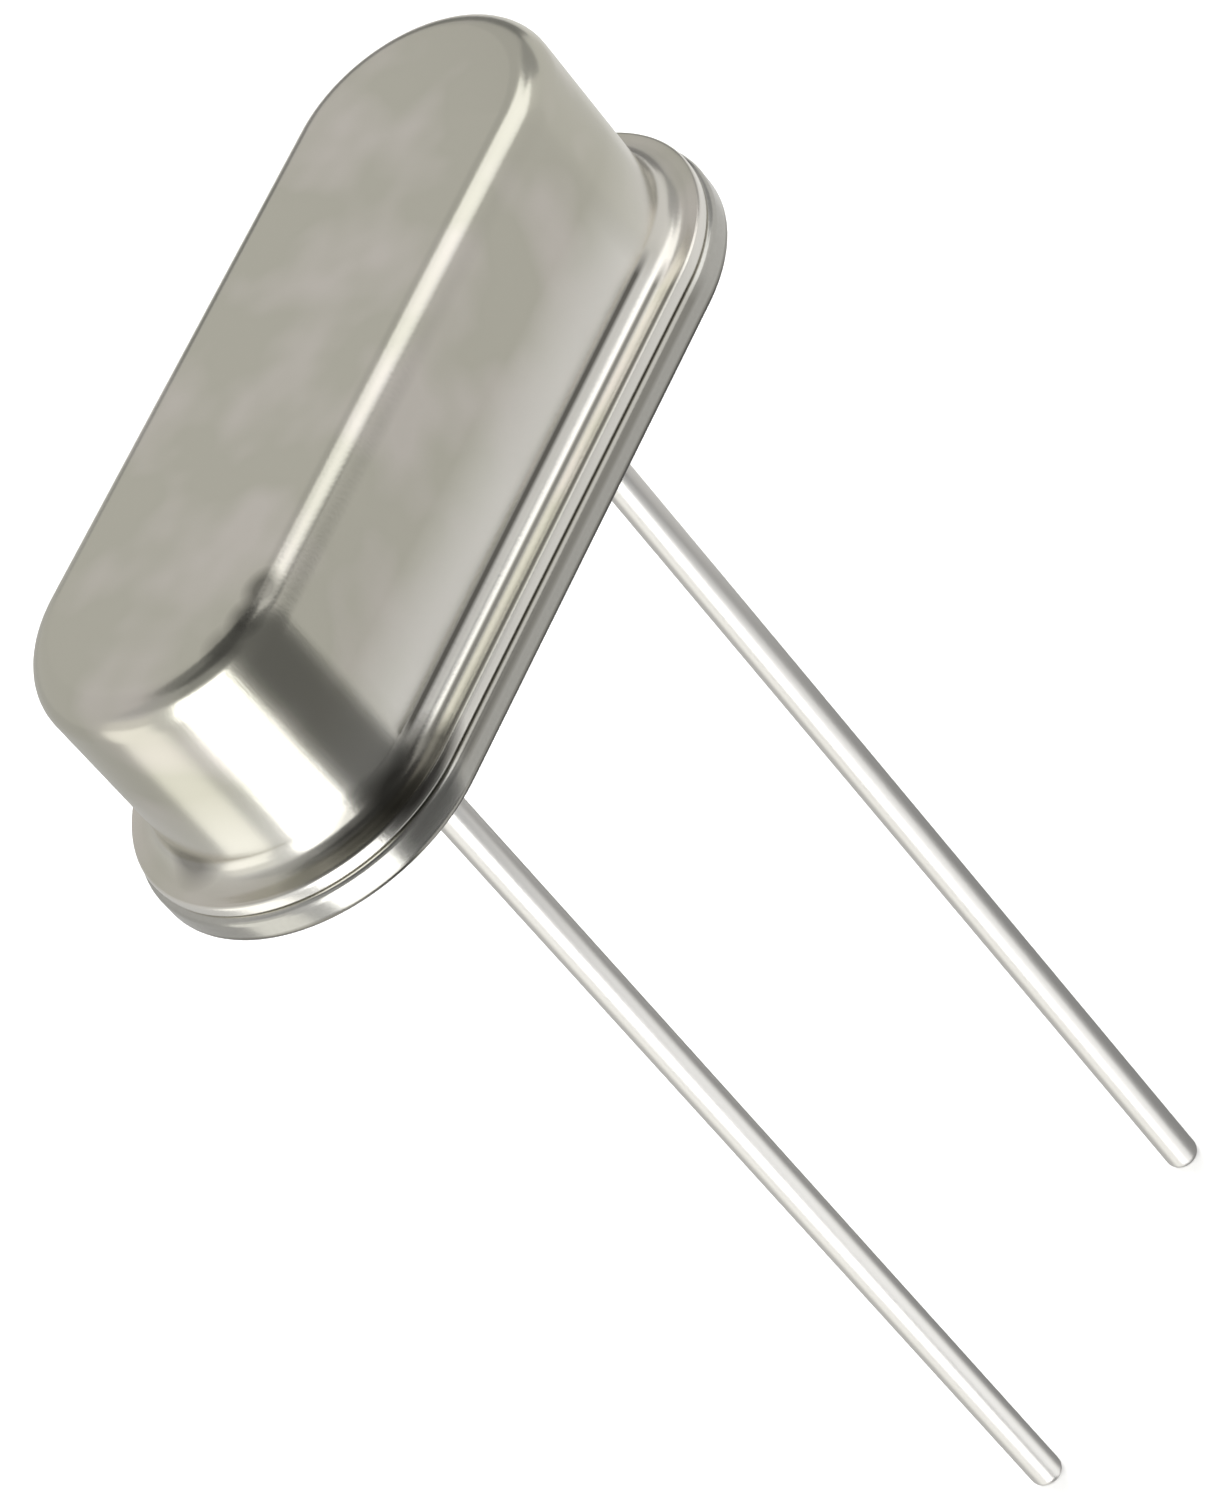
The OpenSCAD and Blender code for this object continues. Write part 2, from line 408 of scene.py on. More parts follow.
# %% The can's satin
CLOUD = 1.5 * MM
GRAIN = 0.035 * MM
DRAW_LINE = 0.05 * MM
DRAW_LENGTH = 1.6 * MM
RELIEF = 0.002 * MM  # how deep fine grain and lines are, here and on the other pieces
PATCH_FROM, PATCH_FULLY = 0.46, 0.66  # the noise at a cloudy patch's edge and inside it
SATIN = (0.19, 0.25)  # roughness in the clearest and in the cloudiest spots

nickel, tree, shader = new_material("nickel_silver_satin")
place = add(tree, "ShaderNodeTexCoord").outputs["Object"]
cloud = add(tree, "ShaderNodeTexNoise", {"Vector": place, "Scale": 1 / CLOUD, "Detail": 2.0})
patches = add(
    tree, "ShaderNodeMapRange",
    {"Value": cloud.outputs[0], "From Min": PATCH_FROM, "From Max": PATCH_FULLY},
)
tint = add(
    tree, "ShaderNodeMix",
    {"Factor": patches.outputs[0], MIX_A: linear("#CBC9BC"), MIX_B: linear("#DBD6CE")},
    data_type="RGBA",
)
grain = add(tree, "ShaderNodeTexNoise", {"Vector": place, "Scale": 1 / GRAIN, "Detail": 2.0})
drawn = add(
    tree, "ShaderNodeMapping",
    {"Vector": place, "Scale": (1 / DRAW_LINE, 1 / DRAW_LINE, 1 / DRAW_LENGTH)},
)
lines = add(
    tree, "ShaderNodeTexNoise", {"Vector": drawn.outputs[0], "Scale": 1.0, "Detail": 2.0},
)
relief = add(tree, "ShaderNodeMath", {0: grain.outputs[0], 1: lines.outputs[0]}, operation="ADD")
bump = add(
    tree, "ShaderNodeBump",
    {"Strength": 0.25, "Distance": RELIEF, "Height": relief.outputs[0]},
)
satin = add(
    tree, "ShaderNodeMapRange",
    {"Value": cloud.outputs[0], "From Min": NOISE_LOW, "From Max": NOISE_HIGH,
     "To Min": SATIN[0], "To Max": SATIN[1]},
)
print("clouds", round(CLOUD / MM, 2), "mm across, lines", round(DRAW_LINE / MM, 3), "mm apart")

# %% [markdown]
# ## Painted glow on the wall and painted highlight on the edge
#
# The wall is painted paler towards the bend, most on the straight sides, as a painted reflection
# of the bright flange below it. The flange's trimmed edge is painted paler, as a painted
# highlight. Metal's colour sits in its reflections, so both are a paler Base Color. The first is
# told by height. The second is told by reach: the spine is the line between the centres of the
# can's two round ends, and reach is the distance from it, so a line of even reach runs parallel
# to the flange's edge all the way round.

# %% Painted glow at the foot and painted highlight on the edge
PAINTED_GLOW_FROM = 2.0 * MM
PAINTED_GLOW_FULLY = 1.05 * MM
PAINTED_GLOW_DOWN_TO = 0.72 * MM
PAINTED_GLOW_AT_ENDS = 0.5  # as a share of the straight sides
EDGE_HIGHLIGHT_FROM = FLANGE_HALF_W - 0.5 * CAN_EDGE_R
EDGE_HIGHLIGHT_FULLY = FLANGE_HALF_W - 0.1 * CAN_EDGE_R


def straight_sides(tree, where):
    """Distance along X from the middle, and a mask: 1 on the straight sides, 0 at the ends."""
    along = add(tree, "ShaderNodeMath", {0: where.outputs["X"]}, operation="ABSOLUTE")
    straight = add(
        tree, "ShaderNodeMapRange",
        {"Value": along.outputs[0],
         "From Min": HALF_RUN + CAN_SHEET, "From Max": HALF_RUN - CAN_SHEET},
    )
    return along.outputs[0], straight.outputs[0]


where = add(tree, "ShaderNodeSeparateXYZ", {"Vector": place})
along, straight = straight_sides(tree, where)
# Painted reflection: the wall is painted paler towards the bend, as if it mirrored the bright
# flange.
glow_along_sides = add(
    tree, "ShaderNodeMapRange", {"Value": straight, "To Min": PAINTED_GLOW_AT_ENDS, "To Max": 1.0},
)
glow_above_bend = add(
    tree, "ShaderNodeMapRange",
    {"Value": where.outputs["Z"], "From Min": flange_top, "From Max": PAINTED_GLOW_DOWN_TO,
     "To Max": glow_along_sides.outputs[0]},
)
painted_glow = add(
    tree, "ShaderNodeMapRange",
    {"Value": where.outputs["Z"], "From Min": PAINTED_GLOW_FROM, "From Max": PAINTED_GLOW_FULLY,
     "To Max": glow_above_bend.outputs[0]},
)
beyond = add(tree, "ShaderNodeMath", {0: along, 1: HALF_RUN}, operation="SUBTRACT")
beyond = add(tree, "ShaderNodeMath", {0: beyond.outputs[0], 1: 0.0}, operation="MAXIMUM")
offset = add(tree, "ShaderNodeCombineXYZ", {"X": beyond.outputs[0], "Y": where.outputs["Y"]})
reach = add(tree, "ShaderNodeVectorMath", {0: offset.outputs[0]}, operation="LENGTH")
# Painted highlight: the flange's outer edge is painted paler.
edge_highlight = add(
    tree, "ShaderNodeMapRange",
    {"Value": reach.outputs["Value"], "From Min": EDGE_HIGHLIGHT_FROM, "From Max": EDGE_HIGHLIGHT_FULLY},
)
pale = add(
    tree, "ShaderNodeMath", {0: painted_glow.outputs[0], 1: edge_highlight.outputs[0]}, operation="MAXIMUM",
)
finish = add(
    tree, "ShaderNodeMix",
    {"Factor": pale.outputs[0], MIX_A: tint.outputs[MIX_RESULT], MIX_B: linear("#F6F4EE")},
    data_type="RGBA",
)
# The height printed here is where the painted glow on the wall begins.
print("wall ironed below", round(PAINTED_GLOW_FROM / MM, 2), "mm")

# %% [markdown]
# ## Painted shade lines and spots
#
# The weld runs round the flange. Along the straight sides, fine dark lines are painted as painted
# shade: one in the root of the bend, one lower in the bend, and one where the flange's top rounds
# over to its edge. They dim what the metal mirrors there. A line follows one height on the wall or
# one reach on the flange. Dark spots are painted on the flange and on the top's front corner at
# the left-hand (-X) end, as painted shade that dims the reflections there. A spot is a soft ball,
# squashed to half its height, that darkens whatever metal it takes in.

# %% Painted shade lines and spots
SHADE_LINES = (  # how its place is measured, its middle, its half width
    ("height", 0.838 * MM, 0.064 * MM),
    ("height", 0.638 * MM, 0.024 * MM),
    ("reach", 2.18 * MM, 0.05 * MM),
)
SHADE_LINE_CORE = 0.3  # the share of a line's half width that is dark all over
SHADE_SPOTS = (  # place, radius, strength
    ((-3.45 * MM, -2.05 * MM, 0.62 * MM), 0.60 * MM, 0.9),
    ((-3.95 * MM, -1.94 * MM, 0.62 * MM), 0.66 * MM, 1.0),
    ((-4.40 * MM, -1.72 * MM, 0.70 * MM), 0.70 * MM, 0.66),
    ((-4.90 * MM, -1.35 * MM, 0.60 * MM), 0.70 * MM, 0.36),
    ((-5.14 * MM, 0.47 * MM, 0.80 * MM), 0.50 * MM, 0.6),
    ((-3.30 * MM, -1.58 * MM, 3.42 * MM), 0.32 * MM, 0.75),
    ((-3.70 * MM, -1.56 * MM, 3.42 * MM), 0.32 * MM, 0.7),
    ((-4.08 * MM, -1.42 * MM, 3.42 * MM), 0.32 * MM, 0.4),
)
SHADE_SPOT_CORE = 0.4  # the share of a spot's radius that is dark all over
SHADE_SPOT_SQUASH = 2  # a spot is this many times as wide as it is high

measured = {"height": where.outputs["Z"], "reach": reach.outputs["Value"]}
# Painted shade: each line darkens the metal to dim what it mirrors there.
for measure, middle, half_width in SHADE_LINES:
    off_line = add(tree, "ShaderNodeMath", {0: measured[measure], 1: middle}, operation="SUBTRACT")
    apart = add(tree, "ShaderNodeMath", {0: off_line.outputs[0]}, operation="ABSOLUTE")
    line_shade = add(
        tree, "ShaderNodeMapRange",
        {"Value": apart.outputs[0], "From Min": half_width, "From Max": SHADE_LINE_CORE * half_width,
         "To Max": straight},
    )
    finish = add(
        tree, "ShaderNodeMix",
        {"Factor": line_shade.outputs[0], MIX_A: finish.outputs[MIX_RESULT], MIX_B: linear("#77756F")},
        data_type="RGBA",
    )

flattened = add(
    tree, "ShaderNodeVectorMath", {0: place, 1: (1, 1, SHADE_SPOT_SQUASH)}, operation="MULTIPLY",
)
# Painted shade: each spot darkens the metal to dim what it mirrors there.
for (x, y, z), radius, strength in SHADE_SPOTS:
    apart = add(
        tree, "ShaderNodeVectorMath", {0: flattened.outputs[0], 1: (x, y, SHADE_SPOT_SQUASH * z)},
        operation="DISTANCE",
    )
    spot_shade = add(
        tree, "ShaderNodeMapRange",
        {"Value": apart.outputs["Value"], "From Min": radius, "From Max": SHADE_SPOT_CORE * radius,
         "To Max": strength},
    )
    finish = add(
        tree, "ShaderNodeMix",
        {"Factor": spot_shade.outputs[0], MIX_A: finish.outputs[MIX_RESULT], MIX_B: linear("#64625C")},
        data_type="RGBA",
    )
feed(shader, {
    "Base Color": finish.outputs[MIX_RESULT], "Metallic": 1.0,
    "Roughness": satin.outputs[0], "Normal": bump.outputs[0],
})
finish_with(nickel, "drawn_can")

# %% [markdown]
# ## Bright nickel plate on stamped steel
#
# The base is cold-rolled strip, stamped and then plated, with only a fine grain left from the
# strip. The rim's shoulder is painted a darker grey along the two straight sides, as painted shade
# that dims its highlight there, and the rim's lower edge is painted darker.

# %% The base's finish
STRIP_GRAIN = 0.05 * MM
SHOULDER_SHADE_FROM = RIM_T - 1.6 * RIM_EDGE_R
SHOULDER_SHADE_FULLY = RIM_T - RIM_EDGE_R
DARK_EDGE_FROM = 1.3 * RIM_EDGE_R
DARK_EDGE_FULLY = 0.8 * RIM_EDGE_R

plate, tree, shader = new_material("nickel_plate_on_steel")
place = add(tree, "ShaderNodeTexCoord").outputs["Object"]
strip = add(
    tree, "ShaderNodeTexNoise", {"Vector": place, "Scale": 1 / STRIP_GRAIN, "Detail": 3.0},
)
tint = add(
    tree, "ShaderNodeMix",
    {"Factor": strip.outputs[0], MIX_A: linear("#C5C4BE"), MIX_B: linear("#BAB9B3")},
    data_type="RGBA",
)
bump = add(
    tree, "ShaderNodeBump", {"Strength": 0.2, "Distance": RELIEF, "Height": strip.outputs[0]},
)
where = add(tree, "ShaderNodeSeparateXYZ", {"Vector": place})
along, straight = straight_sides(tree, where)
# Painted shade: the rim's shoulder is painted darker on the straight sides, to dim its highlight.
shoulder_shade = add(
    tree, "ShaderNodeMapRange",
    {"Value": where.outputs["Z"], "From Min": SHOULDER_SHADE_FROM, "From Max": SHOULDER_SHADE_FULLY,
     "To Max": straight},
)
tinted = add(
    tree, "ShaderNodeMix",
    {"Factor": shoulder_shade.outputs[0], MIX_A: tint.outputs[MIX_RESULT], MIX_B: linear("#A09E97")},
    data_type="RGBA",
)
# The rim's lower edge is painted darker.
dark_lower_edge = add(
    tree, "ShaderNodeMapRange",
    {"Value": where.outputs["Z"], "From Min": DARK_EDGE_FROM, "From Max": DARK_EDGE_FULLY},
)
tinted = add(
    tree, "ShaderNodeMix",
    {"Factor": dark_lower_edge.outputs[0], MIX_A: tinted.outputs[MIX_RESULT], MIX_B: linear("#86847D")},
    data_type="RGBA",
)
feed(shader, {
    "Base Color": tinted.outputs[MIX_RESULT], "Metallic": 1.0,
    "Roughness": 0.2, "Normal": bump.outputs[0],
})
finish_with(plate, "stamped_base")

# %% [markdown]
# ## Bright plated wire
#
# The leads are drawn through a die and plated with nickel, and the die's long faint scratches
# still show under a soft shine. The noise is stretched along Z, so that its spots turn into
# scratches.

# %% The leads' finish
SCRATCH = 0.04 * MM
SCRATCH_LENGTH = 3.0 * MM
SCRATCH_RELIEF = 0.001 * MM

wire, tree, shader = new_material("plated_drawn_wire")
place = add(tree, "ShaderNodeTexCoord").outputs["Object"]
stretched = add(
    tree, "ShaderNodeMapping",
    {"Vector": place, "Scale": (1 / SCRATCH, 1 / SCRATCH, 1 / SCRATCH_LENGTH)},
)
scratches = add(
    tree, "ShaderNodeTexNoise", {"Vector": stretched.outputs[0], "Scale": 1.0, "Detail": 3.0},
)
tint = add(
    tree, "ShaderNodeMix",
    {"Factor": scratches.outputs[0], MIX_A: linear("#EAE9E5"), MIX_B: linear("#E0DEDA")},
    data_type="RGBA",
)
bump = add(
    tree, "ShaderNodeBump",
    {"Strength": 0.2, "Distance": SCRATCH_RELIEF, "Height": scratches.outputs[0]},
)
feed(shader, {
    "Base Color": tint.outputs[MIX_RESULT], "Metallic": 1.0,
    "Roughness": 0.36, "Normal": bump.outputs[0],
})
finish_with(wire, "lead_wire_left", "lead_wire_right")

# %% [markdown]
# ## Sealing glass
#
# The beads start as pressed rings of powdered glass, dark with iron oxide, and melt between wire
# and base. The glass keeps tiny bubbles from the powder, and a glossy fire-polished skin.

# %% The beads' finish
BUBBLE = 0.06 * MM
BUBBLE_SKIN = (0.1, 0.35)  # where a bubble's pale middle ends and the dark glass starts

bead_glass, tree, shader = new_material("fused_sealing_glass")
place = add(tree, "ShaderNodeTexCoord").outputs["Object"]
bubbles = add(tree, "ShaderNodeTexVoronoi", {"Vector": place, "Scale": 1 / BUBBLE})
edge = add(
    tree, "ShaderNodeMapRange",
    {"Value": bubbles.outputs["Distance"],
     "From Min": BUBBLE_SKIN[0], "From Max": BUBBLE_SKIN[1]},
)
tint = add(
    tree, "ShaderNodeMix",
    {"Factor": edge.outputs[0], MIX_A: linear("#5A6A60"), MIX_B: linear("#26332E")},
    data_type="RGBA",
)
feed(shader, {
    "Base Color": tint.outputs[MIX_RESULT], "Roughness": 0.08, "IOR": 1.52,
})
finish_with(bead_glass, "glass_bead_left", "glass_bead_right")

# %% [markdown]
# ## What the can hides
#
# The clips, the quartz, its silver films and the epoxy dots are CAD nodes that keep their shape.
# They are out of sight in the welded can, but a cut-away would show them, so each has its real
# finish. The clips are plated spring strip, rolled along their length, with fine lines that
# follow X.

# %% The clips' finish
ROLL_LINE = 0.03 * MM
ROLL_LENGTH = 0.8 * MM

strip_metal, tree, shader = new_material("plated_spring_strip")
place = add(tree, "ShaderNodeTexCoord").outputs["Object"]
rolled = add(
    tree, "ShaderNodeMapping",
    {"Vector": place, "Scale": (1 / ROLL_LENGTH, 1 / ROLL_LINE, 1 / ROLL_LINE)},
)
lines = add(
    tree, "ShaderNodeTexNoise", {"Vector": rolled.outputs[0], "Scale": 1.0, "Detail": 2.0},
)
tint = add(
    tree, "ShaderNodeMix",
    {"Factor": lines.outputs[0], MIX_A: linear("#CDC3A9"), MIX_B: linear("#BDB196")},
    data_type="RGBA",
)
bump = add(
    tree, "ShaderNodeBump", {"Strength": 0.3, "Distance": RELIEF, "Height": lines.outputs[0]},
)
feed(shader, {
    "Base Color": tint.outputs[MIX_RESULT], "Metallic": 1.0,
    "Roughness": 0.28, "Normal": bump.outputs[0],
})
finish_with(strip_metal, "spring_clip_left", "spring_clip_right")

# %% [markdown]
# ## Lapped quartz
#
# The blank is sawn from a grown crystal and lapped with fine grit, which leaves a frosted, faintly
# milky skin on clear quartz. So the shader transmits light, and its roughness and bump frost it.
# Real pits are a few thousandths of a millimetre wide, so these are drawn coarser, to show.

# %% The blank's finish
LAP_GRIT = 0.02 * MM
FROST = (0.3, 0.45)  # roughness between the pits and in them

quartz, tree, shader = new_material("lapped_quartz")
place = add(tree, "ShaderNodeTexCoord").outputs["Object"]
grit = add(tree, "ShaderNodeTexNoise", {"Vector": place, "Scale": 1 / LAP_GRIT, "Detail": 2.0})
bump = add(
    tree, "ShaderNodeBump", {"Strength": 0.4, "Distance": RELIEF, "Height": grit.outputs[0]},
)
frost = add(
    tree, "ShaderNodeMapRange",
    {"Value": grit.outputs[0], "From Min": NOISE_LOW, "From Max": NOISE_HIGH,
     "To Min": FROST[0], "To Max": FROST[1]},
)
feed(shader, {
    "Base Color": linear("#EEF3F5"), "Roughness": frost.outputs[0], "IOR": 1.544,
    "Transmission Weight": 0.7, "Normal": bump.outputs[0],
})
finish_with(quartz, "quartz_blank")

# %% [markdown]
# ## Silver film and silver epoxy
#
# Silver is evaporated onto the frosted quartz, so the film is bright but takes the blank's fine
# grain. The dots are epoxy filled with silver flakes: a matt grey paste with a glint here and
# there. A Voronoi pattern makes it metallic in spots. Real flakes are about half as wide, and are
# drawn coarser, to show.

# %% The films' and the dots' finish
FLAKE = 0.025 * MM
FLAKE_EDGE = (0.2, 0.4)  # where a flake's bright middle ends and the resin starts
FLAKE_SHINE = (0.8, 0.1)  # how metallic a flake's middle is, and the resin between flakes

film, tree, shader = new_material("evaporated_silver")
place = add(tree, "ShaderNodeTexCoord").outputs["Object"]
grit = add(tree, "ShaderNodeTexNoise", {"Vector": place, "Scale": 1 / LAP_GRIT, "Detail": 2.0})
tint = add(
    tree, "ShaderNodeMix",
    {"Factor": grit.outputs[0], MIX_A: linear("#F2F0EA"), MIX_B: linear("#E6E4DE")},
    data_type="RGBA",
)
bump = add(
    tree, "ShaderNodeBump", {"Strength": 0.3, "Distance": RELIEF, "Height": grit.outputs[0]},
)
feed(shader, {
    "Base Color": tint.outputs[MIX_RESULT], "Metallic": 1.0,
    "Roughness": 0.25, "Normal": bump.outputs[0],
})
finish_with(film, "electrode_top", "electrode_bottom")

epoxy, tree, shader = new_material("silver_filled_epoxy")
place = add(tree, "ShaderNodeTexCoord").outputs["Object"]
flakes = add(tree, "ShaderNodeTexVoronoi", {"Vector": place, "Scale": 1 / FLAKE})
shine = add(
    tree, "ShaderNodeMapRange",
    {"Value": flakes.outputs["Distance"],
     "From Min": FLAKE_EDGE[0], "From Max": FLAKE_EDGE[1],
     "To Min": FLAKE_SHINE[0], "To Max": FLAKE_SHINE[1]},
)
tint = add(
    tree, "ShaderNodeMix",
    {"Factor": shine.outputs[0], MIX_A: linear("#8E8C86"), MIX_B: linear("#C9C8C3")},
    data_type="RGBA",
)
feed(shader, {
    "Base Color": tint.outputs[MIX_RESULT], "Metallic": shine.outputs[0], "Roughness": 0.5,
})
finish_with(epoxy, "adhesive_left", "adhesive_right")

# %% [markdown]
# ## The camera
#
# The camera looks down at the can's front long side from its left, from 80 mm away with a long
# lens, and is rolled so that the leads run to the lower right. Depth of field stays off.

# %% A macro camera
VIEW_AZIMUTH = math.radians(-34.34)
VIEW_ELEVATION = math.radians(38.431)
VIEW_ROLL = math.radians(41.09)
VIEW_DISTANCE = 79.949 * MM
PAN_RIGHT = 1.89 * MM
PAN_UP = -2.422 * MM
LENS = 166.97  # lens and sensor are in millimetres, as on a camera
SENSOR = 36
NEAREST = 1 * MM
FARTHEST = 4  # metres, which is past the floor's far edge

turn = (
    Matrix.Rotation(VIEW_AZIMUTH, 4, "Z")
    @ Matrix.Rotation(math.pi / 2 - VIEW_ELEVATION, 4, "X")
    @ Matrix.Rotation(-VIEW_ROLL, 4, "Z")
)
camera = bpy.data.objects.new("macro_camera", bpy.data.cameras.new("macro_camera"))
bpy.context.scene.collection.objects.link(camera)
camera.matrix_world = turn @ Matrix.Translation((PAN_RIGHT, PAN_UP, VIEW_DISTANCE))
camera.data.lens = LENS
camera.data.sensor_width = SENSOR
camera.data.clip_start = NEAREST
camera.data.clip_end = FARTHEST
bpy.context.scene.camera = camera
print("camera at", [round(c / MM, 2) for c in camera.location], "mm")

# %% [markdown]
# ## The floor
#
# The part stands on its lead tips on a pale floor, which only has to catch a soft shadow. For
# rays that go straight to the eye, or by way of metal or glass, the floor adds a glow, so that it
# stays white but keeps its shadow. From below it is clear, so that a view from there shows the
# underside.

# %% The floor
FLOOR_R = 3.0
FLOOR_STEPS = 64
FLOOR_GLOW = 0.3

scene = bpy.context.scene
scene.view_settings.view_transform = "Standard"


def seen_rays(tree):
    """1 for rays that reach the eye, straight or by way of gloss or glass, and 0 for the rest."""
    ray = add(tree, "ShaderNodeLightPath")
    eye_or_gloss = add(
        tree, "ShaderNodeMath", {0: ray.outputs["Is Camera Ray"], 1: ray.outputs["Is Glossy Ray"]},
        operation="MAXIMUM",
    )
    return add(
        tree, "ShaderNodeMath",
        {0: eye_or_gloss.outputs[0], 1: ray.outputs["Is Transmission Ray"]},
        operation="MAXIMUM",
    ).outputs[0]


floor_bm = bmesh.new()
bmesh.ops.create_circle(floor_bm, cap_ends=True, segments=FLOOR_STEPS, radius=FLOOR_R)
bmesh.ops.translate(floor_bm, verts=floor_bm.verts, vec=(0, 0, cad_low.z))
floor_mesh = bpy.data.meshes.new("studio_floor")
floor_bm.to_mesh(floor_mesh)
floor_bm.free()
floor = bpy.data.objects.new("studio_floor", floor_mesh)
scene.collection.objects.link(floor)

floor_paint, tree, shader = new_material("pale_studio_floor")
tree.nodes.remove(shader)
glow = add(tree, "ShaderNodeMath", {0: seen_rays(tree), 1: FLOOR_GLOW}, operation="MULTIPLY")
paint = add(tree, "ShaderNodeBsdfDiffuse", {"Color": linear("#EFEFED")})
shine = add(tree, "ShaderNodeEmission", {"Strength": glow.outputs[0]})
both = add(tree, "ShaderNodeAddShader", {0: paint.outputs[0], 1: shine.outputs[0]})
side_seen = add(tree, "ShaderNodeNewGeometry")
clear = add(tree, "ShaderNodeBsdfTransparent")
one_way = add(
    tree, "ShaderNodeMixShader",
    {0: side_seen.outputs["Backfacing"], 1: both.outputs[0], 2: clear.outputs[0]},
)
feed(tree.nodes["Material Output"], {"Surface": one_way.outputs[0]})
finish_with(floor_paint, "studio_floor")

# %% [markdown]
# ## World and lamps
#
# Two large soft lamps and an even world light the part at a plain level. Rays that the eye sees,
# straight or by way of metal or glass, find the world pure white, and all other rays find it
# dimmer. The metal doesn't mirror the lamps, because cards do that work below.

# %% World and lamps
AMBIENT = 0.55

world = bpy.data.worlds.new("white_tent")
world.use_nodes = True
scene.world = world
tree = world.node_tree
level = add(
    tree, "ShaderNodeMapRange", {"Value": seen_rays(tree), "To Min": AMBIENT, "To Max": 1.0},
)
feed(tree.nodes["Background"], {"Color": (1, 1, 1, 1), "Strength": level.outputs[0]})

LAMPS = {  # azimuth and elevation in degrees, width in metres, watts
    "key_lamp": (150, 60, 0.30, 1.2),
    "fill_lamp": (-60, 50, 0.30, 0.8),
}
LAMP_DISTANCE = 0.45
for name, (azimuth, elevation, width, watts) in LAMPS.items():
    lamp = bpy.data.lights.new(name, "AREA")
    lamp.size = width
    lamp.energy = watts
    lamp_object = bpy.data.objects.new(name, lamp)
    scene.collection.objects.link(lamp_object)
    lamp_object.matrix_world = (
        Matrix.Rotation(math.radians(azimuth), 4, "Z")
        @ Matrix.Rotation(math.radians(90 - elevation), 4, "X")
        @ Matrix.Translation((0, 0, LAMP_DISTANCE))
    )
    lamp_object.visible_glossy = False
    print(name, watts, "W")

# %% [markdown]
# ## What the metal mirrors
#
# Bare metal shows little but its surroundings, so a studio sets cards round it: white ones where
# a bright band should lie, black or grey ones to give it an edge. These cards are patches of one
# wide dome round the part, made by turning a point into an arc and the arc into a patch. Only
# mirrored rays see them. The floor is left out of the mirror images, so the dome is whole.

# %% A card on a dome
DOME_R = 0.5
CARD_STEP = 6  # degrees that one face spans

floor.visible_glossy = False


def card(name, azimuths, elevations, level, tint="#FFFFFF", radius=DOME_R):
    """A glowing patch of a dome, between two azimuths and two elevations in degrees."""
    bm = bmesh.new()
    corner = bm.verts.new((0, -radius, 0))
    rise = math.radians(elevations[1] - elevations[0])
    sweep = math.radians(azimuths[1] - azimuths[0])
    bmesh.ops.rotate(
        bm, verts=[corner], cent=(0, 0, 0),
        matrix=Matrix.Rotation(-math.radians(elevations[0]), 3, "X"),
    )
    bmesh.ops.spin(
        bm, geom=[corner], cent=(0, 0, 0), axis=(1, 0, 0), angle=-rise,
        steps=max(1, round(math.degrees(rise) / CARD_STEP)),
    )
    bmesh.ops.rotate(
        bm, verts=bm.verts, cent=(0, 0, 0),
        matrix=Matrix.Rotation(math.radians(azimuths[0]), 3, "Z"),
    )
    bmesh.ops.spin(
        bm, geom=list(bm.verts) + list(bm.edges), cent=(0, 0, 0), axis=(0, 0, 1), angle=sweep,
        steps=max(1, round(math.degrees(sweep) / CARD_STEP)),
    )
    mesh = bpy.data.meshes.new(name)
    bm.to_mesh(mesh)
    bm.free()
    made = bpy.data.objects.new(name, mesh)
    scene.collection.objects.link(made)
    made.visible_camera = made.visible_diffuse = made.visible_transmission = False
    made.visible_shadow = made.visible_volume_scatter = False
    paper, tree, shader = new_material(name + "_paper")
    tree.nodes.remove(shader)
    light = add(tree, "ShaderNodeEmission", {"Color": linear(tint), "Strength": level})
    feed(tree.nodes["Material Output"], {"Surface": light.outputs[0]})
    mesh.materials.append(paper)


# %% [markdown]
# ## The cards
#
# The cards cover the dome without gaps or overlaps. Azimuth 0 is straight in front of the front
# long side, and 90 off the right-hand end. Two small cards lie close under the leads, so low that
# can and rim mirror the dome past them, and give the thin wires a white middle and a grey edge.

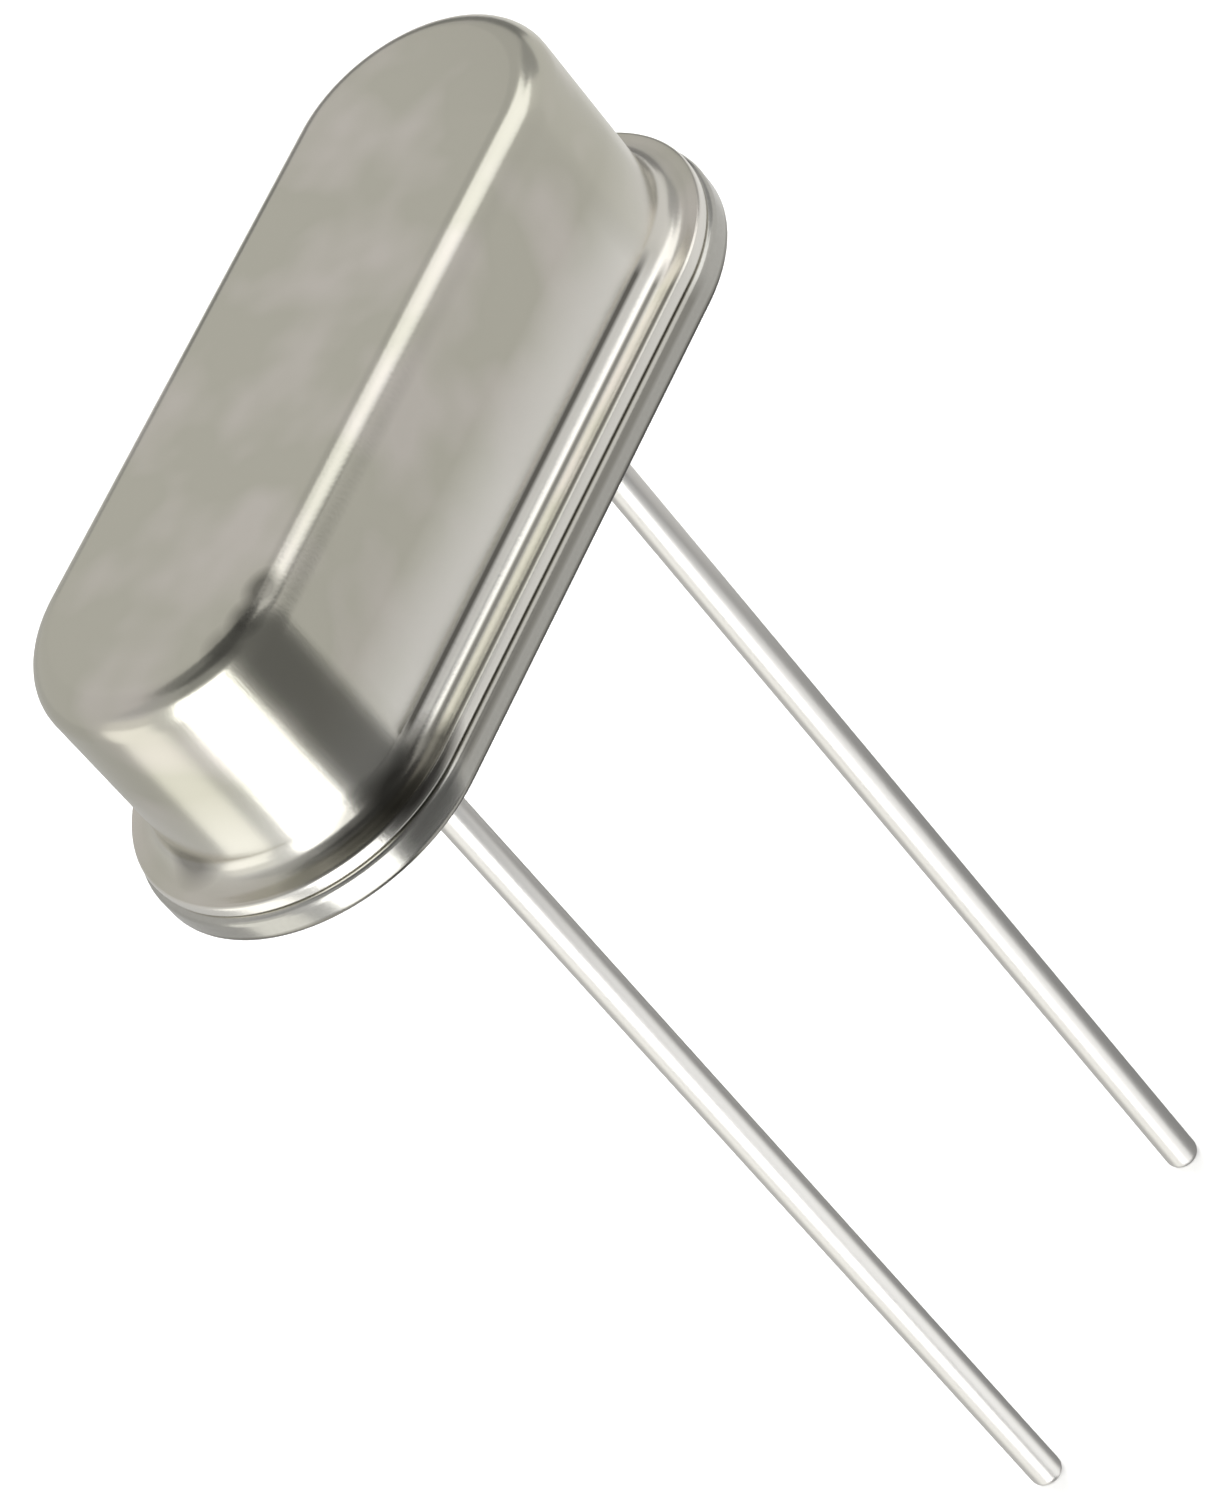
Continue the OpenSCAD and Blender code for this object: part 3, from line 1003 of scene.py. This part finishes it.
# %% All the cards
CARDS = {  # azimuths, elevations, level, tint
    "window_left": ((-77, -33), (-54, 36), 3.0, "#FFFFFF"),
    "window_left_bar": ((-95, -77), (-90, 38), 0.72, "#FFFFFF"),
    "cream_left_low": ((-130, -95), (-90, 5), 1.27, "#FFFEF9"),
    "cream_left_mid": ((-130, -95), (5, 28), 0.85, "#FFFEF9"),
    "cream_left_rise": ((-130, -95), (28, 38), 0.65, "#FFFFFF"),
    "grey_left_high": ((-130, -77), (38, 66), 0.5, "#FFFFFF"),
    "grey_back_left_low": ((-206, -130), (-90, 3), 0.56, "#FFFEFC"),
    "grey_back_left": ((-206, -130), (3, 66), 0.63, "#FFFEFC"),
    "penumbra_left": ((-77, -33), (36, 66), 0.35, "#FFFFFF"),
    "dark_nadir_left": ((-77, -33), (-90, -54), 0.12, "#FFFFFF"),
    "dark_front_left": ((-33, -22), (-90, 66), 0.28, "#FFFFFF"),
    "dark_front": ((-22, 17), (-90, 66), 0.17, "#FFFFFF"),
    "dark_front_edge": ((17, 24), (-90, 66), 0.28, "#FFFFFF"),
    "dark_front_high": ((24, 36), (33, 66), 0.2, "#FFFFFF"),
    "grey_right_low": ((24, 46), (-90, 33), 0.67, "#FFFEFC"),
    "grey_far_end_low": ((46, 107), (-56, 12), 0.72, "#FFFEFC"),
    "dark_nadir_right": ((46, 107), (-90, -56), 0.3, "#FFFFFF"),
    "grey_far_end_mid": ((46, 76), (12, 33), 0.75, "#FFFEFC"),
    "dark_far_end": ((76, 107), (12, 33), 0.4, "#FFFFFF"),
    "dark_far_end_high": ((80, 107), (33, 43), 0.4, "#FFFFFF"),
    "softbox_low": ((36, 80), (33, 43), 1.55, "#FFFFFF"),
    "softbox_high": ((36, 107), (43, 66), 1.55, "#FFFFFF"),
    "pale_back_right": ((107, 154), (-90, -6), 0.82, "#FFFEFC"),
    "dark_back_horizon": ((107, 154), (-6, 16), 0.25, "#FFFFFF"),
    "grey_back_right": ((107, 138), (16, 66), 0.57, "#FFFEFC"),
    "grey_back": ((138, 154), (16, 66), 0.66, "#FFFEFC"),
    "grey_zenith_back": ((-210, -100), (66, 90), 0.25, "#FFFFFF"),
    "dark_zenith": ((-100, 150), (66, 90), 0.13, "#FFFFFF"),
}
LEAD_CARDS = {  # azimuths, elevations, level
    "lead_white": ((-33, 24), (-90, -42), 1.2),
    "lead_dark": ((40, 150), (-90, -42), 0.3),
}
LEAD_CARDS_R = 25 * MM
for name, settings in CARDS.items():
    card(name, *settings)
for name, settings in LEAD_CARDS.items():
    card(name, *settings, radius=LEAD_CARDS_R)
print(len(CARDS), "cards on the dome,", len(LEAD_CARDS), "under the leads")
